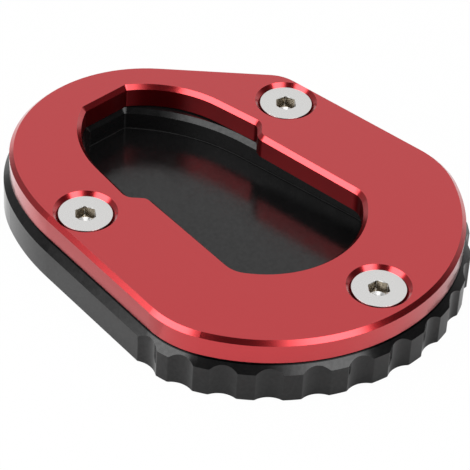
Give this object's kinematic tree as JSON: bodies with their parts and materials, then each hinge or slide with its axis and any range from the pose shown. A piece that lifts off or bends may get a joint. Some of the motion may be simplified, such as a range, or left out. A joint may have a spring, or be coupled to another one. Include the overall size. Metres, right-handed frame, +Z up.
{
  "type": "kickstand foot enlarger",
  "caption": "Flat motorcycle side-stand foot plate: a red clamp plate with a stepped cut-out screwed onto a black base with a foot pocket and a fluted front edge.",
  "frame": {"origin": "middle of the footprint's length, on the axis through the front screw, at the ground face", "axes": "+X along the plate to its broad fluted front end, +Z up through the plates, +Y to the side with the slanted rear edge"},
  "size_m": [0.109, 0.0867, 0.0146],
  "materials": {
    "red_anodised": "satin red anodised, machined",
    "black_anodised": "satin black anodised, machined",
    "stainless": "plain stainless screw heads"
  },
  "bodies": {
    "root": {"top_plate": "red_anodised", "base_plate": "black_anodised", "clamp_screws": "stainless"}
  },
  "joints": []
}
